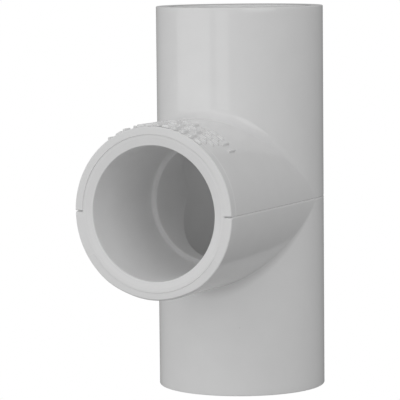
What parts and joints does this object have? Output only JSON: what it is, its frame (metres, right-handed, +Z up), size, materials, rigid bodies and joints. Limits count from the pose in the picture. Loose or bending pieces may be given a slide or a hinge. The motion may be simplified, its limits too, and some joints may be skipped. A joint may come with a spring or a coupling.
{
  "type": "pvc tee fitting",
  "caption": "White moulded PVC pipe tee: a straight run with a slip socket at each end, and a branch socket square to its middle.",
  "frame": {"origin": "bottom centre of the bounding box, on the plane of the run's lower rim", "axes": "+Z up along the run's axis, -Y along the branch towards its mouth, X across both"},
  "size_m": [0.0278, 0.046, 0.0635],
  "materials": {
    "white_pvc": "smooth semi-gloss moulded PVC, slightly duller on the end faces and inside the sockets"
  },
  "bodies": {
    "root": {"tee_body": "white_pvc"}
  },
  "joints": []
}
